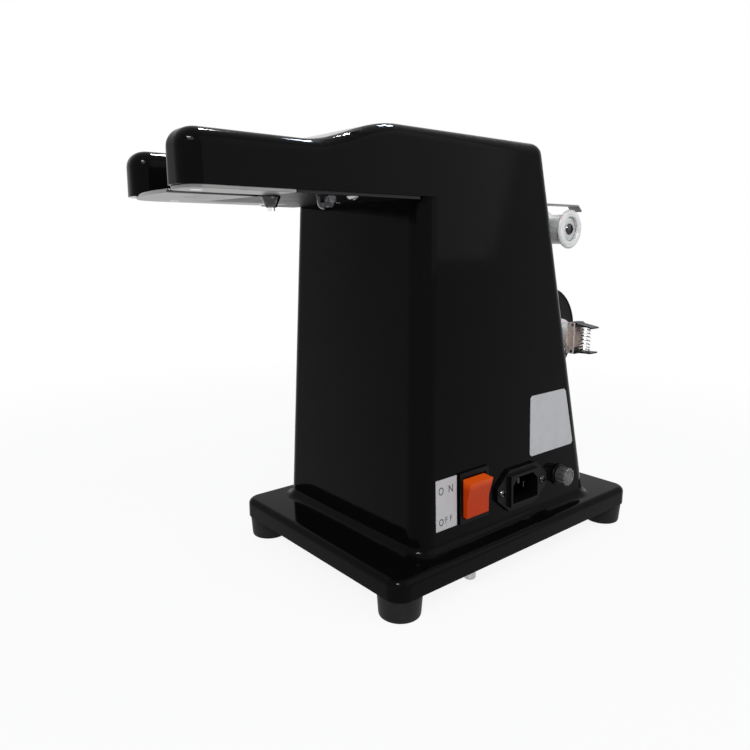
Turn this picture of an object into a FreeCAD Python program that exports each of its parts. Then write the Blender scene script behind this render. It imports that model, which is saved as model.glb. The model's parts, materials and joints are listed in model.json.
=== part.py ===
import FreeCAD, Part
import Sketcher
import math
import os
import re
from FreeCAD import Placement, Rotation, Vector

os.makedirs("parts", exist_ok=True)
doc = FreeCAD.newDocument("BagNeckTier")

# Driving sizes in millimetres
sheet = doc.addObject("Spreadsheet::Sheet", "Sizes")
driving = [
    ("overall_length", 337.0), ("overall_height", 260.1), ("base_width", 162.6),
    ("base_length", 227.4), ("base_front", 72.6), ("base_top", 26.3),
    ("foot_height", 14.0), ("foot_inset", 12.9), ("corner_round", 10.0),
    ("wall_thick", 3.0), ("sheet_thick", 2.0), ("tower_low_width", 137.1),
    ("tower_high_width", 119.0), ("tower_front_low", 44.8), ("tower_front_high", 37.8),
    ("tower_rear_low", 122.0), ("tower_rear_high", 66.5), ("tower_round", 11.5),
    ("head_depth", 36.7), ("plate_thick", 1.6), ("arm_drop", 12.1),
    ("ramp_front", 108.0), ("ramp_back", 51.0), ("slot_left", 24.0),
    ("slot_right", 35.0), ("slot_end", 117.0), ("edge_round", 8.0),
    ("prong_round", 9.5), ("gap_left", 31.0), ("gap_right", 36.0), ("far_prong_tip", 152.5),
    ("far_prong_round", 19.0), ("gap_round", 9.0),
    ("twist_across", 29.5), ("twist_rise", 7.6), ("needle_across", 52.0),
    ("needle_along", 94.0), ("needle_rise", 14.6), ("needle_reach", 45.0),
    ("gear_drop", 27.0), ("roller_along", 116.3), ("roller_height", 210.0),
    ("roller_inner", 22.0), ("roller_outer", 46.0), ("flange_radius", 13.1),
    ("reel_height", 133.5), ("disc_radius", 34.2), ("disc_face", 17.6),
    ("spindle_end", 40.2), ("switch_along", -0.8), ("switch_height", 54.5),
    ("inlet_along", 43.7), ("inlet_height", 49.2), ("inlet_screws", 40.0),
    ("fuse_along", 83.9), ("fuse_height", 47.6), ("fit_gap", 0.05), ("free_gap", 0.3),
]
# Heights that follow the head and the top of the machine
follows = {
    "head_height": "(overall_height - head_depth)", "arm_top": "(overall_height - arm_drop)",
    "twist_height": "(overall_height - head_depth + twist_rise)",
    "needle_low": "(overall_height - head_depth + needle_rise)",
}
for line, (alias, value) in enumerate(driving, 1):
    sheet.set("A%d" % line, alias)
    sheet.set("B%d" % line, "%g" % value)
    sheet.setAlias("B%d" % line, alias)
doc.recompute()
size = {alias: float(sheet.get(alias)) for alias, value in driving}
aliases = set(size)
size["head_height"] = size["overall_height"] - size["head_depth"]
size["arm_top"] = size["overall_height"] - size["arm_drop"]
size["twist_height"] = size["head_height"] + size["twist_rise"]
size["needle_low"] = size["head_height"] + size["needle_rise"]


def bind(text):
    text = re.sub(r"[a-z_]+", lambda m: follows.get(m.group(0), m.group(0)), str(text))
    return re.sub(r"[a-z_]+", lambda m: "Sizes." + m.group(0) if m.group(0) in aliases else m.group(0), str(text))


def put(solid, where, turn=None):
    if turn is not None:
        solid.Placement = Placement(Vector(0, 0, 0), turn)
    for letter, text in zip("xyz", where):
        solid.setExpression("Placement.Base." + letter, bind(text))
    return solid


turns = {
    "z": Rotation(), "x": Rotation(Vector(0, 1, 0), 90), "y": Rotation(Vector(1, 0, 0), -90),
    "-z": Rotation(Vector(1, 0, 0), 180), "-x": Rotation(Vector(0, 1, 0), -90),
    "-y": Rotation(Vector(1, 0, 0), 90),
}


def box(corner, sides):
    solid = doc.addObject("Part::Box", "Block")
    for name, text in zip(("Length", "Width", "Height"), sides):
        solid.setExpression(name, bind(text))
    return put(solid, corner)


def rod(start, radius, length, axis="z"):
    solid = doc.addObject("Part::Cylinder", "Rod")
    solid.setExpression("Radius", bind(radius))
    solid.setExpression("Height", bind(length))
    return put(solid, start, turns[axis])


def cone(start, radius, tip, length, axis="z"):
    solid = doc.addObject("Part::Cone", "Cone")
    solid.setExpression("Radius1", bind(radius))
    solid.setExpression("Radius2", bind(tip))
    solid.setExpression("Height", bind(length))
    return put(solid, start, turns[axis])


def hexagon(start, across, length, axis="z"):
    solid = doc.addObject("Part::Prism", "Hexagon")
    solid.Polygon = 6
    solid.setExpression("Circumradius", bind("(%s) / 1.7321" % across))
    solid.setExpression("Height", bind(length))
    return put(solid, start, turns[axis])


def fuse(pieces):
    whole = doc.addObject("Part::MultiFuse", "Joined")
    whole.Shapes = pieces
    whole.Refine = True
    return whole


def cut(base, tools):
    rest = doc.addObject("Part::Cut", "Hollowed")
    rest.Base = base
    rest.Tool = tools[0] if len(tools) == 1 else fuse(tools)
    return rest


def ring(start, radius, bore, length, axis="z"):
    return cut(rod(start, radius, length, axis), [rod(start, bore, length, axis)])


def group(pieces):
    bundle = doc.addObject("Part::Compound", "Set")
    bundle.Links = pieces
    return bundle


nodes = {}


def node(label, made):
    made.Label = label
    nodes[label] = made
    return made


def sketch_body(kind, points, length=None):
    body = doc.addObject("PartDesign::Body", "Body")
    drawing = body.newObject("Sketcher::SketchObject", "Outline")
    role = "XZ_Plane" if kind == "turned" else "XY_Plane"
    plane = [o for o in body.Origin.OriginFeatures if o.Role == role][0]
    drawing.AttachmentSupport = [(plane, "")]
    drawing.MapMode = "FlatFace"
    total = len(points)
    for i in range(total):
        first = Vector(float(i), float(i * i) + 1, 0)
        last = Vector(float(i + 1), float(i * i) + 3, 0)
        drawing.addGeometry(Part.LineSegment(first, last))
    for i in range(total):
        drawing.addConstraint(Sketcher.Constraint("Coincident", i, 2, (i + 1) % total, 1))
    for i, point in enumerate(points):
        for kind_name, text in zip(("DistanceX", "DistanceY"), point):
            spot = drawing.addConstraint(Sketcher.Constraint(kind_name, -1, 1, i, 1, float(i + 1)))
            drawing.setExpression("Constraints[%d]" % spot, bind(text))
    if kind == "turned":
        solid = body.newObject("PartDesign::Revolution", "Turned")
        solid.Profile = drawing
        solid.ReferenceAxis = (drawing, ["V_Axis"])
        solid.Angle = 360
    else:
        solid = body.newObject("PartDesign::Pad", "Pad")
        solid.Profile = drawing
        solid.setExpression("Length", bind(length))
    return body


def feature(label, shape, where=None):
    made = doc.addObject("Part::Feature", "Shell")
    made.Shape = shape
    if where is not None:
        made.Placement = where
    return node(label, made)


# Where the leaning faces of the tower stand at a given height
rise = "(overall_height - base_top)"
side_slope = "((tower_low_width - tower_high_width) / 2 / %s)" % rise
rear_slope = "((tower_rear_low - tower_rear_high) / %s)" % rise


def side_at(height):
    return "(tower_low_width / 2 - (%s - base_top) * %s)" % (height, side_slope)


def rear_at(height):
    return "(tower_rear_low - (%s - base_top) * %s)" % (height, rear_slope)


span = size["overall_height"] - size["base_top"]
side_lean = math.degrees(math.atan((size["tower_low_width"] - size["tower_high_width"]) / 2 / span))
rear_lean = math.degrees(math.atan((size["tower_rear_low"] - size["tower_rear_high"]) / span))


def half_width(height):
    share = (height - size["base_top"]) / span
    return (size["tower_low_width"] * (1 - share) + size["tower_high_width"] * share) / 2


def rear_face(height):
    share = (height - size["base_top"]) / span
    return size["tower_rear_low"] * (1 - share) + size["tower_rear_high"] * share


def front_face(height):
    share = (height - size["base_top"]) / span
    return -(size["tower_front_low"] * (1 - share) + size["tower_front_high"] * share)


# Housing: base skirt, leaning tower and forked head moulded as one open shell
def round_rect(x0, x1, y0, y1, radius, height):
    c = radius * (1 - math.sqrt(0.5))
    spots = [(x0 + radius, y0), (x1 - radius, y0), (x1 - c, y0 + c), (x1, y0 + radius),
             (x1, y1 - radius), (x1 - c, y1 - c), (x1 - radius, y1), (x0 + radius, y1),
             (x0 + c, y1 - c), (x0, y1 - radius), (x0, y0 + radius), (x0 + c, y0 + c)]
    v = [Vector(x, y, height) for x, y in spots]
    edges = [Part.LineSegment(v[0], v[1]), Part.Arc(v[1], v[2], v[3]), Part.LineSegment(v[3], v[4]),
             Part.Arc(v[4], v[5], v[6]), Part.LineSegment(v[6], v[7]), Part.Arc(v[7], v[8], v[9]),
             Part.LineSegment(v[9], v[10]), Part.Arc(v[10], v[11], v[0])]
    return Part.Wire([e.toShape() for e in edges])


def slab(x0, x1, y0, y1, radius, low, high):
    face = Part.Face(round_rect(x0, x1, y0, y1, radius, low))
    return face.extrude(Vector(0, 0, high - low))


def tower_solid(inset, low, high):
    wires = []
    for height in (low, high):
        half = half_width(height) - inset
        front, rear = front_face(height) + inset, rear_face(height) - inset
        wires.append(round_rect(-half, half, front, rear, size["tower_round"] - inset, height))
    return Part.makeLoft(wires, True, True)


tip = -size["overall_length"] / 2


def head_wire(inset, height):
    half, back, front = half_width(height) - inset, 10.0, tip + inset
    near, far = size["prong_round"] - inset, size["far_prong_round"] - inset
    far_front, deep = -size["far_prong_tip"] + inset, -size["slot_end"] + inset
    inside = size["gap_round"] + inset
    left, right = -size["gap_left"] - inset, size["gap_right"] + inset
    # each corner: where it stands, its radius, and the signs towards the arc's centre
    turns_at = [((half, front), near, (-1, 1)), ((right, front), near, (1, 1)),
                ((right, deep), inside, (-1, -1)), ((left, deep), inside, (1, -1)),
                ((left, far_front), near, (-1, 1)), ((-half, far_front), far, (1, 1))]
    edges, at, upright = [], Vector(half, back, height), True
    for (x, y), radius, (sx, sy) in turns_at:
        short = radius * (1 - math.sqrt(0.5))
        along = Vector(x, y + sy * radius, height)
        across = Vector(x + sx * radius, y, height)
        first, last = (along, across) if upright else (across, along)
        edges.append(Part.LineSegment(at, first).toShape())
        edges.append(Part.Arc(first, Vector(x + sx * short, y + sy * short, height), last).toShape())
        at, upright = last, not upright
    edges.append(Part.LineSegment(at, Vector(-half, back, height)).toShape())
    edges.append(Part.LineSegment(Vector(-half, back, height), Vector(half, back, height)).toShape())
    return Part.Wire(edges)


def head_solid(inset, low, high):
    return Part.makeLoft([head_wire(inset, low), head_wire(inset, high)], True, True)


def top_profile(inset):
    arm, top = size["arm_top"] - inset, size["overall_height"] - inset
    y0, y1 = -size["ramp_front"], -size["ramp_back"]
    third = (y1 - y0) / 3
    curve = Part.BezierCurve()
    curve.setPoles([Vector(-100, y0, arm), Vector(-100, y0 + third, arm),
                    Vector(-100, y1 - third * 1.2, top), Vector(-100, y1, top)])
    far = 400.0
    corners = [Vector(-100, y1, top), Vector(-100, far, top), Vector(-100, far, -5),
               Vector(-100, -far, -5), Vector(-100, -far, arm), Vector(-100, y0, arm)]
    edges = [Part.makeLine(corners[i], corners[i + 1]) for i in range(5)] + [curve.toShape()]
    return Part.Face(Part.Wire(edges)).extrude(Vector(200, 0, 0))


def try_rounding(solid, radius, chosen):
    for share in (1.0, 0.7, 0.45):
        try:
            rounded = solid.makeFillet(radius * share, chosen)
            if rounded.isValid() and len(rounded.Solids) == 1:
                print("rounded", radius * share, len(chosen))
                return rounded
        except Exception as trouble:
            print("smaller rounding tried:", str(trouble)[:60])
    return solid


skirt_low = size["foot_height"]
shell_low = size["head_height"] + size["plate_thick"]
wide = size["base_width"] / 2
base_y0, base_y1 = -size["base_front"], size["base_length"] - size["base_front"]
wall = size["wall_thick"]

upper = tower_solid(0, size["base_top"] - 4, size["overall_height"] + 12)
upper = upper.fuse(head_solid(0, shell_low, size["overall_height"] + 12)).removeSplitter()
upper = upper.common(top_profile(0)).removeSplitter()
rim = [e for e in upper.Edges if e.BoundBox.ZMin > size["arm_top"] - 0.5
       and e.BoundBox.XLength < 2 * half_width(size["arm_top"]) - 1
       or (e.BoundBox.ZMin > size["overall_height"] - 0.5 and e.BoundBox.YMin > 20)]
upper = try_rounding(upper, size["edge_round"], rim)
skirt = slab(-wide, wide, base_y0, base_y1, size["corner_round"], skirt_low, size["base_top"])
skirt_rim = [e for e in skirt.Edges if e.BoundBox.ZMin > size["base_top"] - 0.01]
skirt = try_rounding(skirt, 4.0, skirt_rim)
outer = upper.fuse(skirt).removeSplitter()
seam = [e for e in outer.Edges if abs(e.BoundBox.ZMin - size["base_top"]) < 0.05
        and abs(e.BoundBox.ZMax - size["base_top"]) < 0.05
        and abs(e.BoundBox.XMin) < size["tower_low_width"] / 2 + 0.5
        and abs(e.BoundBox.XMax) < size["tower_low_width"] / 2 + 0.5
        and e.BoundBox.YMin > -size["tower_front_low"] - 1 and e.BoundBox.YMax < size["tower_rear_low"] + 1]
outer = try_rounding(outer, 6.0, seam)

inner = tower_solid(wall, size["base_top"] - wall - 1, size["overall_height"] + 12)
cavity = head_solid(wall, shell_low - 0.5, size["overall_height"] + 12)
keep = Part.makeBox(400, 400, 300, Vector(-200, -400, shell_low))
cavity = cavity.common(keep)
lip = Part.makeBox(40, 140, 2.0, Vector(-45.0 - 40, tip, shell_low))
cavity = cavity.cut(lip)
inner = inner.fuse(cavity).common(top_profile(wall))
inner = inner.fuse(slab(-wide + wall, wide - wall, base_y0 + wall, base_y1 - wall,
                        size["corner_round"] - wall, skirt_low - 1, size["base_top"] - wall))
housing = outer.cut(inner)
floor_top = size["foot_height"] + size["sheet_thick"]
for x in (-1, 1):
    for y in (base_y0 + size["foot_inset"], base_y1 - size["foot_inset"]):
        x_foot = x * (wide - size["foot_inset"])
        boss = Part.makeCylinder(4.5, size["base_top"] - wall + 0.5 - floor_top, Vector(x_foot, y, floor_top))
        housing = housing.fuse(boss).cut(Part.makeCylinder(2.0, 8, Vector(x_foot, y, floor_top - 1)))
far_tip = -size["far_prong_tip"]
posts = [(-38.0, far_tip + 22.5), (-38.0, -75.0), (46.0, tip + 11.5), (54.5, -80.0), (5.0, -52.0)]
for x, y in posts:
    post = Part.makeCylinder(3.0, 60, Vector(x, y, shell_low)).common(top_profile(1.0))
    housing = housing.fuse(post)
cuts = []
for x, y in posts:
    cuts.append(Part.makeCylinder(1.35, 11.5, Vector(x, y, shell_low - 1)))
low_needle = size["needle_low"]
cuts.append(Part.makeBox(9, 25, 4.4, Vector(size["gap_right"] - 3, -size["slot_end"] - 28, low_needle - 0.7)))
cuts.append(Part.makeCylinder(4.6, 8, Vector(size["twist_across"], -size["slot_end"] - 2, size["twist_height"]),
                              Vector(0, 1, 0)))
push_low = size["head_height"] + 17.2
cuts.append(Part.makeBox(9, 11, 3.8, Vector(size["twist_across"] - 4.5, -size["slot_end"] - 5, push_low)))
entry_low = size["head_height"] + 13.6
cuts.append(Part.makeBox(16, 40, 6, Vector(26, rear_face(entry_low + 3) - 20, entry_low)))


def side_place(along, height):
    return Placement(Vector(half_width(height), along, height), Rotation(Vector(0, 1, 0), -side_lean))


def side_cut(shape, along, height):
    shape.Placement = side_place(along, height).multiply(shape.Placement)
    cuts.append(shape)


side_cut(Part.makeBox(12, 23, 29, Vector(-8, -11.5, -14.5)), size["switch_along"], size["switch_height"])
side_cut(Part.makeBox(12, 29, 21, Vector(-8, -14.5, -10.5)), size["inlet_along"], size["inlet_height"])
for side in (-0.5, 0.5):
    spot = size["inlet_along"] + side * size["inlet_screws"]
    side_cut(Part.makeCylinder(1.6, 12, Vector(-8, 0, 0), Vector(1, 0, 0)), spot, size["inlet_height"])
side_cut(Part.makeCylinder(6.3, 12, Vector(-8, 0, 0), Vector(1, 0, 0)), size["fuse_along"], size["fuse_height"])
rear_turn = Rotation(Vector(1, 0, 0), rear_lean)
for height in (140.0, 200.0):
    hole = Part.makeCylinder(2.1, 14, Vector(0, -8, 0), Vector(0, 1, 0))
    hole.Placement = Placement(Vector(5.0, rear_face(height), height), rear_turn)
    cuts.append(hole)
housing = housing.cut(cuts)
merged = housing.removeSplitter()
feature("housing", merged if merged.isValid() else housing)

# Base plate under the skirt, feet, and what fastens them
foot_x = "(base_width / 2 - foot_inset)"
foot_spots = [(x, y) for x in (foot_x, "-" + foot_x)
              for y in ("-base_front + foot_inset", "base_length - base_front - foot_inset")]
rim_gap = wall + size["free_gap"]
plate = slab(-wide + rim_gap, wide - rim_gap, base_y0 + rim_gap, base_y1 - rim_gap,
             size["corner_round"] - rim_gap, size["foot_height"], floor_top)
holes = []
for sx in (-1, 1):
    for y in (base_y0 + size["foot_inset"], base_y1 - size["foot_inset"]):
        holes.append(Part.makeCylinder(2.0, 10, Vector(sx * (wide - size["foot_inset"]), y, size["foot_height"] - 1)))
lock_x, lock_y = wide - 7.3, -9.0
holes.append(Part.makeCylinder(2.6, 10, Vector(lock_x, lock_y, size["foot_height"] - 1)))
feature("base_plate", plate.cut(holes))

feet, screws = [], []
for x, y in foot_spots:
    foot = sketch_body("turned", [("2.1", "6"), ("3.9", "6"), ("3.9", "0"), ("foot_inset - 2", "0"),
                                  ("foot_inset - 1.2", "0.5"), ("foot_inset - 0.9", "1.4"),
                                  ("foot_inset", "foot_height"), ("2.1", "foot_height")])
    feet.append(put(foot, (x, y, "0")))
    screws.append(fuse([rod((x, y, "3.4"), "3.6", "2.6"),
                        rod((x, y, "6"), "1.95", "foot_height + sheet_thick")]))
node("rubber_feet", group(feet))
node("foot_fasteners", group(screws))
lock = ("base_width / 2 - 7.3", "-9")
node("base_bolt", group([
    fuse([rod(lock + ("foot_height - 7.6",), "3.5", "7.6"),
          rod(lock + ("foot_height",), "2.5", "sheet_thick + 5")]),
    cut(hexagon(lock + ("foot_height + sheet_thick",), "7", "4"),
        [rod(lock + ("foot_height + sheet_thick",), "2.55", "4")])]))

# Steel plates and cover under the head
low, thick = size["head_height"], size["plate_thick"]
right_end = -size["slot_end"] + 1.5


def flat(spots):
    return Part.Face(Part.makePolygon([Vector(x, y, low) for x, y in spots + spots[:1]])).extrude(Vector(0, 0, thick))


def arc_points(cx, cy, rx, ry, first, last, count):
    steps = [math.radians(first + (last - first) * i / count) for i in range(count + 1)]
    return [(cx + rx * math.cos(a), cy + ry * math.sin(a)) for a in steps]


def drilled(shape, spots):
    return shape.cut([Part.makeCone(2.75, 1.3, thick, Vector(x, y, low)) for x, y in spots])


left_edge = size["slot_left"] - 0.8
wide_plate = [(left_edge, right_end), (left_edge, far_tip - 8.0), (8.0, far_tip - 8.4), (-8.0, far_tip - 6.6),
              (-20.0, far_tip - 3.6)]
wide_plate += arc_points(-31.0, far_tip + 18.0, 18.5, 17.5, -95, -180, 7)
wide_plate += [(-50.0, -64.0), (-27.0, -64.0), (-27.0, right_end)]
feature("arm_plate_wide", drilled(flat(wide_plate), posts[:2]))
right_edge = size["slot_right"] + 0.8
half = half_width(size["head_height"]) - 1.5
narrow_plate = [(right_edge, right_end), (half, right_end), (half, tip + 9)]
narrow_plate += arc_points(half - 6.5, tip + 9, 6.5, 6.8, 0, -90, 5)
narrow_plate += arc_points(right_edge + 7, tip + 9.2, 7, 7, -90, -180, 5)
feature("arm_plate_narrow", drilled(flat(narrow_plate), [posts[2]]))
cover = [(-26.7, right_end + 0.3), (half, right_end + 0.3), (half, front_face(low) - 0.5),
         (-half, front_face(low) - 0.5), (-half, -63.7), (-26.7, -63.7)]
cover = drilled(flat(cover), posts[4:])
cover = cover.cut([Part.makeCylinder(1.3, 10, Vector(posts[3][0], posts[3][1], low - 3)),
                   Part.makeCylinder(1.85, 10, Vector(30, -111, low - 3)),
                   Part.makeCylinder(2.55, 10, Vector(size["needle_across"], -size["needle_along"], low - 3))])
feature("head_cover", cover)
flush = [fuse([cone(("%g" % x, "%g" % y, "head_height"), "2.7", "1.25", "plate_thick"),
               rod(("%g" % x, "%g" % y, "head_height + plate_thick - 0.2"), "1.25", "7.6")])
         for x, y in posts[:3] + posts[4:]]
proud = fuse([rod(("%g" % posts[3][0], "%g" % posts[3][1], "head_height - 1.6"), "2.8", "1.6"),
              rod(("%g" % posts[3][0], "%g" % posts[3][1], "head_height"), "1.25", "9")])
node("head_screws", group(flush + [proud]))
node("guide_stud", fuse([rod(("30", "-111", "head_height - 7"), "1.8", "10.4"),
                         rod(("30", "-111", "head_height + plate_thick"), "2.8", "1.4")]))
node("cone_nut", cut(cone(("30", "-111", "head_height"), "4.6", "2.7", "5.4", "-z"),
                     [rod(("30", "-111", "head_height"), "1.85", "5.4", "-z")]))

# Needle arm: a curved finger that carries the tie across the slot
needle = ("needle_across", "-needle_along")
node("needle_pivot", fuse([rod(needle + ("head_height - 5",), "2.5", "25.4"),
                           rod(needle + ("head_height + plate_thick",), "4.4",
                               "needle_low - 4 - head_height - plate_thick - free_gap")]))
dome = fuse([hexagon(needle + ("head_height - 3.6",), "8.8", "3.6"),
             cone(needle + ("head_height - 3.6",), "4.2", "2.2", "3", "-z")])
node("dome_nut", cut(dome, [rod(needle + ("head_height - 5.05",), "2.55", "5.05")]))
reach = size["needle_reach"]
hub = Vector(size["needle_across"], -size["needle_along"], low_needle)


def sector(inner_radius, outer_radius, first, last, base, height):
    big = Part.makeCylinder(outer_radius, height, base, Vector(0, 0, 1), last - first)
    small = Part.makeCylinder(inner_radius, height, base)
    big.rotate(base, Vector(0, 0, 1), first)
    return big.cut(small)


finger = sector(reach - 2, reach + 2, -112, -87, hub, 3.0)
spoke = Part.makeBox(reach - 4, 3.6, 3.0, Vector(4, -1.8, 0))
spoke.Placement = Placement(hub, Rotation(Vector(0, 0, 1), -88)).multiply(spoke.Placement)
boss = Part.makeCylinder(4.8, 7.0, hub - Vector(0, 0, 4))
bore = Part.makeCylinder(2.5 + size["fit_gap"], 20, hub - Vector(0, 0, 8))
feature("needle_arm", boss.fuse([spoke, finger]).cut(bore).removeSplitter())
node("needle_clip", ring(needle + ("needle_low + 3 + free_gap",), "4", "2.5", "1"))

# Gears
def gear(teeth, module, width, bore_radius, turn=0.0):
    pitch = teeth * module / 2
    root, crest = pitch - 1.25 * module, pitch + 0.9 * module
    spots = []
    step = 2 * math.pi / teeth
    for i in range(teeth):
        middle = i * step + turn
        for share, radius in ((-0.33, root), (-0.12, crest), (0.12, crest), (0.33, root)):
            angle = middle + share * step
            spots.append(Vector(radius * math.cos(angle), 0, radius * math.sin(angle)))
    spots.append(spots[0])
    disc = Part.Face(Part.makePolygon(spots)).extrude(Vector(0, width, 0))
    return disc.cut(Part.makeCylinder(bore_radius, width, Vector(0, 0, 0), Vector(0, 1, 0)))


# Twister: shaft with a forked hook, turned by a gear pair from the motor
shaft_y = "-slot_end + 3"
twist = ("twist_across", shaft_y, "twist_height")
node("twister_shaft", rod(twist, "3", "slot_end - 3 - 10", "y"))
prongs = [rod(("twist_across + %g" % dx, "-slot_end - 5", "twist_height"), "0.9", "7", "y") for dx in (-2.4, 2.4)]
hook_body = rod(("twist_across", "-slot_end - 0.5", "twist_height"), "4", "8.2", "y")
hook = cut(fuse([hook_body] + prongs), [rod(twist, "3", "8", "y")])
node("twister_hook", hook)
gear_start = Vector(size["twist_across"], -28.0, size["twist_height"])
feature("twister_gear", gear(36, 1.0, 8.0, 3.0), Placement(gear_start, Rotation()))
pinion_start = gear_start - Vector(0, 0, size["gear_drop"])
feature("motor_pinion", gear(18, 1.0, 8.0, 3.0), Placement(pinion_start, Rotation()))
block = cut(box(("twist_across - 7.5", "-slot_end + 10.5", "head_height + plate_thick"), ("15", "10", "19.6")),
            [rod(("twist_across", "-slot_end + 10.5", "twist_height"), "3 + fit_gap", "10", "y"),
             rod(("twist_across", "-slot_end + 10.5", "head_height + 19.1"), "1.3 + fit_gap", "10", "y")])
node("twister_bearing", block)
node("tie_cutter", fuse([box(("twist_across + 7.5", "-slot_end + 12", "head_height + plate_thick"), ("8", "1.5", "18")),
                         box(("twist_across + 7.5", "-slot_end + 13.5", "head_height + plate_thick"), ("8", "4", "3"))]))

# Chassis, motor and its bracket
chassis = fuse([box(("-2", "-28", "foot_height + sheet_thick"), ("3", "84", "overall_height - 60")),
                box(("-2", "8", "overall_height - 55"), ("3", "44", "49")),
                box(("-20", "-28", "foot_height + sheet_thick"), ("20", "84", "3"))])
feed_low, feed_high = "overall_height - 27.1", "overall_height - 12.7"
chassis = cut(chassis, [rod(("-3", "30", feed_low), "2.5 + fit_gap", "6", "x"),
                        rod(("-3", "30", feed_high), "2.5 + fit_gap", "6", "x")])
node("chassis", chassis)
motor_height = "twist_height - gear_drop"
bracket = cut(box(("1", "-16", "twist_height - 61"), ("52", "4", "76")),
              [rod(("twist_across", "-17", "twist_height"), "3 + fit_gap", "6", "y"),
               rod(("twist_across", "-17", motor_height), "6", "6", "y")])
node("motor_bracket", bracket)
gearbox = fuse([rod(("twist_across", "-12", motor_height), "18", "26", "y"),
                rod(("twist_across", "-16", motor_height), "6", "4", "y")])
node("motor_gearbox", cut(gearbox, [rod(("twist_across", "-16", motor_height), "3 + fit_gap", "12", "y")]))
node("motor_can", fuse([rod(("twist_across", "14", motor_height), "15.5", "36", "y"),
                        rod(("twist_across", "50", motor_height), "5", "3", "y")]))
node("motor_shaft", rod(("twist_across", "-30", motor_height), "3", "25.7", "y"))

# Feed rollers that push the tie into the head
for label, height in (("feed_roller", feed_low), ("feed_idler", feed_high)):
    node(label, fuse([rod(("-2", "30", height), "2.5", "31", "x"), rod(("27", "30", height), "7", "14", "x")]))
node("feed_collars", group([ring(("1", "30", height), "4.2", "2.5 + fit_gap", "3", "x")
                            for height in (feed_low, feed_high)]))

# Trigger in the slot that starts a cycle, and its switch
node("trigger", fuse([box(("twist_across - 4", "-slot_end - 2.6", "head_height + 17.6"), ("8", "1.8", "3")),
                      rod(("twist_across", "-slot_end - 1", "head_height + 19.1"), "1.3", "23.5", "y")]))
stand = fuse([box(("twist_across - 8.5", "-94", "head_height + plate_thick"), ("3", "16", "11.2")),
              box(("twist_across + 5.5", "-94", "head_height + plate_thick"), ("3", "16", "11.2")),
              box(("twist_across - 8.5", "-94", "head_height + plate_thick + 11.2"), ("17", "16", "1.4"))])
node("trigger_stand", stand)
node("trigger_switch", box(("twist_across - 5", "-89.5", "head_height + plate_thick + 12.6"), ("10", "11", "7")))

# Power parts on the base plate
floor = "foot_height + sheet_thick"
node("transformer", group([
    fuse([box(("-58", "0", floor), ("34", "46", "28")), box(("-62", "-4", floor), ("42", "54", "2"))]),
    box(("-54", "-10", floor + " + 6"), ("26", "10", "20")),
    box(("-54", "46", floor + " + 6"), ("26", "10", "20"))]))
node("board_posts", group([rod((x, y, floor), "2.5", "8") for x in ("-55", "-12") for y in ("64", "102")]))
node("control_board", box(("-60", "60", floor + " + 8"), ("52", "46", "1.6")))
node("board_parts", group([box(("-54", "68", floor + " + 9.6"), ("18", "15", "14")),
                           rod(("-22", "72", floor + " + 9.6"), "5", "16"),
                           rod(("-22", "90", floor + " + 9.6"), "5", "16"),
                           box(("-52", "90", floor + " + 9.6"), ("14", "10", "8"))]))


# Side fittings, each drawn on a flat face and then laid on the leaning side
def on_side(label, made, along, height, extra=0.0):
    turn = Rotation(Vector(0, 1, 0), -side_lean + extra)
    node(label, put(made, (side_at(height), along, height), turn))


rocker_frame = fuse([box(("0", "-12.6", "-15.6"), ("1.6", "25.2", "31.2")), box(("-18", "-11.2", "-14.2"), ("18", "22.4", "28.4"))])
rocker_frame = cut(rocker_frame, [box(("-10", "-10", "-12.6"), ("20", "20", "25.2")),
                                  rod(("0", "-11.0", "0"), "1.2 + fit_gap", "22", "y")])
on_side("switch_frame", rocker_frame, "switch_along", "switch_height")
button = sketch_body("pad", [("-7", "-6"), ("-1.5", "-11"), ("5.9", "-11.2"), ("4.5", "0"), ("5.9", "11.2"),
                             ("-1.5", "11"), ("-7", "6")], "19.4")
button.Placement = Placement(Vector(0, 0, 0), Rotation(Vector(1, 0, 0), 90))
for letter, text in zip("xyz", ("0", "9.7", "0")):
    button.setExpression("Placement.Base." + letter, text)
button = fuse([button, rod(("0", "-10.7", "0"), "1.2", "21.4", "y")])
on_side("switch_button", group([button]), "switch_along", "switch_height", 9.0)
inlet_plate = sketch_body("pad", [("-24.5", "-4"), ("-13", "-13.4"), ("13", "-13.4"), ("24.5", "-4"),
                                  ("24.5", "4"), ("13", "13.4"), ("-13", "13.4"), ("-24.5", "4")], "2.4")
inlet_plate.Placement = Placement(Vector(0, 0, 0), Rotation(Vector(1, 1, 1), 120))
inlet = fuse([inlet_plate, box(("-18", "-14.2", "-10.2"), ("20", "28.4", "20.4")),
              box(("2", "-14.2", "-10.2"), ("2.6", "28.4", "20.4"))])
well = sketch_body("pad", [("-12.3", "-8.2"), ("12.3", "-8.2"), ("12.3", "3.4"), ("7.6", "8.2"),
                           ("-7.6", "8.2"), ("-12.3", "3.4")], "19")
well.Placement = Placement(Vector(-14, 0, 0), Rotation(Vector(1, 1, 1), 120))
inlet = cut(inlet, [well, rod(("-1", "-inlet_screws / 2", "0"), "1.6", "6", "x"),
                    rod(("-1", "inlet_screws / 2", "0"), "1.6", "6", "x")])
on_side("mains_inlet", inlet, "inlet_along", "inlet_height")
pins = group([box(("-14", "-8", "-3"), ("12", "2", "4")), box(("-14", "6", "-3"), ("12", "2", "4")),
              box(("-14", "-1", "1"), ("13", "2", "4"))])
on_side("inlet_pins", pins, "inlet_along", "inlet_height")
heads = group([fuse([rod(("2.4", y, "0"), "3.1", "1.6", "x"), rod(("-6", y, "0"), "1.5", "8.4", "x")])
               for y in ("-inlet_screws / 2", "inlet_screws / 2")])
on_side("inlet_fasteners", heads, "inlet_along", "inlet_height")
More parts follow.
